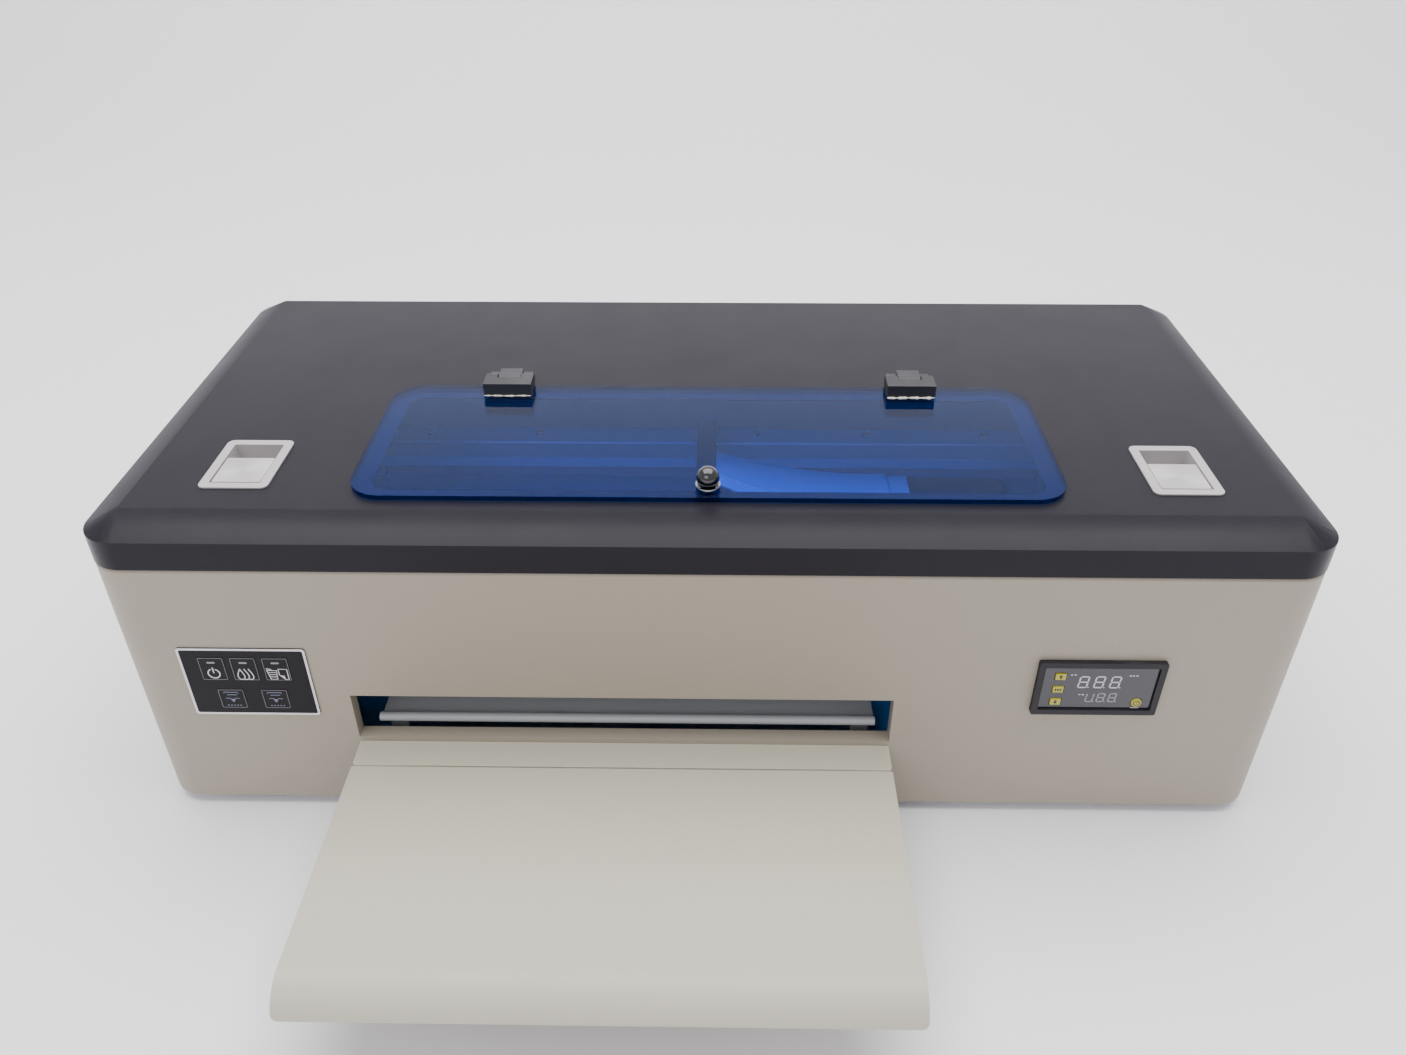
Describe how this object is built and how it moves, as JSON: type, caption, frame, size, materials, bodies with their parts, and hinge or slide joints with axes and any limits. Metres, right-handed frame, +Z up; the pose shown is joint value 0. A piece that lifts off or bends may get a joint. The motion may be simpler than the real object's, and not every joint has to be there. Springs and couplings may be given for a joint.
{
  "type": "desktop film printer",
  "caption": "Desktop film inkjet printer: sheet-metal case with hinged lid, tinted window door, lift latches, front film slot, slide-out output tray, key panel and heater controller.",
  "frame": {"origin": "on the surface it stands on, under the middle of the whole machine's box", "axes": "+X to the right seen from the front, +Y to the back, +Z up"},
  "size_m": [0.7448, 0.5512, 0.2484],
  "materials": {
    "case_paint": "fine textured powder coat, warm grey",
    "tray_paint": "fine textured powder coat, pale warm grey",
    "lid_paint": "fine textured powder coat, dark grey",
    "zinc_sheet": "bright plated sheet steel",
    "steel": "ground steel",
    "latch_steel": "brushed stainless steel",
    "rubber": "matt black rubber",
    "silicone": "orange silicone mat",
    "black_plastic": "satin moulded black plastic",
    "gloss_black": "polished black plastic",
    "grey_metal": "dark painted motor can",
    "white_plastic": "white moulded plastic",
    "clear_plastic": "milky translucent plastic",
    "cable": "flat white ribbon cable with clear tubes",
    "tint_acrylic": "blue tinted transparent acrylic",
    "board": "green circuit board",
    "membrane": "dark membrane film with a pale border",
    "controller_grey": "dark grey moulded plastic",
    "yellow_key": "yellow key cap",
    "red_key": "red rocker",
    "head_metal": "grey metal"
  },
  "bodies": {
    "case": {"body_shell": "case_paint", "base_plate": "zinc_sheet", "feet": "rubber", "tray_bracket": "tray_paint", "exit_guide_plate": "zinc_sheet", "heater_mat": "silicone", "rear_feed_guide": "black_plastic", "platen": "black_plastic", "side_frames": "zinc_sheet", "main_rail": "zinc_sheet", "guide_rod": "steel", "carriage_belt": "rubber", "carriage_motor": "grey_metal", "feed_motor": "grey_metal", "roller_belt": "rubber", "pinch_arms": "black_plastic", "tube_bracket": "black_plastic", "ribbon_loop": "cable", "cap_frame": "black_plastic", "ink_tanks": "clear_plastic", "tank_caps": "black_plastic", "power_supply": "zinc_sheet", "main_board": "board", "power_inlet": "black_plastic", "membrane_panel": "membrane", "controller_case": "controller_grey", "lower_hinge_leaves": "steel", "hinge_screws": "steel"},
    "carriage": {"carriage_shell": "black_plastic", "print_head": "head_metal", "ink_dampers": "clear_plastic", "tube_holder": "white_plastic"},
    "motor_pulley": {"motor_pulley": "steel"},
    "idler_pulley": {"idler_pulley": "steel"},
    "feed_roller": {"feed_roller": "steel"},
    "eject_roller": {"eject_roller": "rubber"},
    "pinch_rollers": {"pinch_rollers": "rubber"},
    "cap_tray": {"cap_tray": "rubber"},
    "output_tray": {"output_tray": "tray_paint"},
    "lid": {"lid_shell": "lid_paint", "upper_hinge_leaves": "steel", "lid_hinge_pins": "steel", "latch_dishes": "latch_steel", "door_hinge_bases": "black_plastic"},
    "window_door": {"door_panel": "tint_acrylic", "door_hinge_clamps": "black_plastic", "door_hinge_pins": "steel", "knob": "gloss_black"},
    "latch_paddle_left": {"latch_paddle_left": "latch_steel"},
    "latch_paddle_right": {"latch_paddle_right": "latch_steel"},
    "power_key": {"power_key": "membrane"},
    "ink_key": {"ink_key": "membrane"},
    "film_key": {"film_key": "membrane"},
    "lower_left_key": {"lower_left_key": "membrane"},
    "lower_right_key": {"lower_right_key": "membrane"},
    "up_key": {"up_key": "yellow_key"},
    "set_key": {"set_key": "yellow_key"},
    "down_key": {"down_key": "yellow_key"},
    "controller_power_key": {"controller_power_key": "yellow_key"},
    "rocker_switch": {"rocker_switch": "red_key"}
  },
  "joints": [
    {"name": "lid_hinge", "type": "hinge", "parent": "case", "child": "lid", "pos_m": [0, 0.27165, 0.2005], "axis": [-1, 0, 0], "range_deg": [0, 75]},
    {"name": "window_door_hinge", "type": "hinge", "parent": "lid", "child": "window_door", "pos_m": [0, 0.08965, 0.2385], "axis": [-1, 0, 0], "range_deg": [0, 95]},
    {"name": "left_latch_paddle", "type": "hinge", "parent": "lid", "child": "latch_paddle_left", "pos_m": [-0.2898, -0.03235, 0.2279], "axis": [1, 0, 0], "range_deg": [0, 50], "stiffness_Nm_per_rad": 0.03, "springref_deg": -17.19},
    {"name": "right_latch_paddle", "type": "hinge", "parent": "lid", "child": "latch_paddle_right", "pos_m": [0.2914, -0.03285, 0.2279], "axis": [1, 0, 0], "range_deg": [0, 50], "stiffness_Nm_per_rad": 0.03, "springref_deg": -17.19},
    {"name": "output_tray_slide", "type": "slide", "parent": "case", "child": "output_tray", "axis": [0, -1, 0], "range_m": [0, 0.055]},
    {"name": "carriage_slide", "type": "slide", "parent": "case", "child": "carriage", "axis": [-1, 0, 0], "range_m": [0, 0.38]},
    {"name": "motor_pulley_spin", "type": "hinge", "parent": "case", "child": "motor_pulley", "pos_m": [0.236, 0.13365, 0.108], "axis": [0, 1, 0], "continuous": true},
    {"name": "idler_pulley_spin", "type": "hinge", "parent": "case", "child": "idler_pulley", "pos_m": [-0.236, 0.13365, 0.108], "axis": [0, 1, 0], "continuous": true},
    {"name": "feed_roller_spin", "type": "hinge", "parent": "case", "child": "feed_roller", "pos_m": [0, 0.11265, 0.06], "axis": [1, 0, 0], "continuous": true},
    {"name": "eject_roller_spin", "type": "hinge", "parent": "case", "child": "eject_roller", "pos_m": [0, 0.03465, 0.06], "axis": [1, 0, 0], "continuous": true},
    {"name": "pinch_roller_spin", "type": "hinge", "parent": "case", "child": "pinch_rollers", "pos_m": [0, 0.11265, 0.0723], "axis": [1, 0, 0], "continuous": true},
    {"name": "cap_tray_drop", "type": "slide", "parent": "case", "child": "cap_tray", "axis": [0, 0, -1], "range_m": [0, 0.004], "stiffness_N_per_m": 250, "springref_m": -0.004},
    {"name": "power_key_press", "type": "slide", "parent": "case", "child": "power_key", "axis": [0, 1, 0], "range_m": [0, 0.0004], "stiffness_N_per_m": 600},
    {"name": "ink_key_press", "type": "slide", "parent": "case", "child": "ink_key", "axis": [0, 1, 0], "range_m": [0, 0.0004], "stiffness_N_per_m": 600},
    {"name": "film_key_press", "type": "slide", "parent": "case", "child": "film_key", "axis": [0, 1, 0], "range_m": [0, 0.0004], "stiffness_N_per_m": 600},
    {"name": "lower_left_key_press", "type": "slide", "parent": "case", "child": "lower_left_key", "axis": [0, 1, 0], "range_m": [0, 0.0004], "stiffness_N_per_m": 600},
    {"name": "lower_right_key_press", "type": "slide", "parent": "case", "child": "lower_right_key", "axis": [0, 1, 0], "range_m": [0, 0.0004], "stiffness_N_per_m": 600},
    {"name": "up_key_press", "type": "slide", "parent": "case", "child": "up_key", "axis": [0, 1, 0], "range_m": [0, 0.0006], "stiffness_N_per_m": 400},
    {"name": "set_key_press", "type": "slide", "parent": "case", "child": "set_key", "axis": [0, 1, 0], "range_m": [0, 0.0006], "stiffness_N_per_m": 400},
    {"name": "down_key_press", "type": "slide", "parent": "case", "child": "down_key", "axis": [0, 1, 0], "range_m": [0, 0.0006], "stiffness_N_per_m": 400},
    {"name": "controller_power_key_press", "type": "slide", "parent": "case", "child": "controller_power_key", "axis": [0, 1, 0], "range_m": [0, 0.0006], "stiffness_N_per_m": 400},
    {"name": "rocker_switch_tilt", "type": "hinge", "parent": "case", "child": "rocker_switch", "pos_m": [-0.308, 0.26255, 0.05], "axis": [-1, 0, 0], "range_deg": [0, 12]}
  ],
  "couplings": [
    {"joint": "motor_pulley_spin", "follows": "carriage_slide", "rad_per_m": 125},
    {"joint": "idler_pulley_spin", "follows": "carriage_slide", "rad_per_m": 125},
    {"joint": "eject_roller_spin", "follows": "feed_roller_spin", "ratio": 1},
    {"joint": "pinch_roller_spin", "follows": "feed_roller_spin", "ratio": -2}
  ]
}
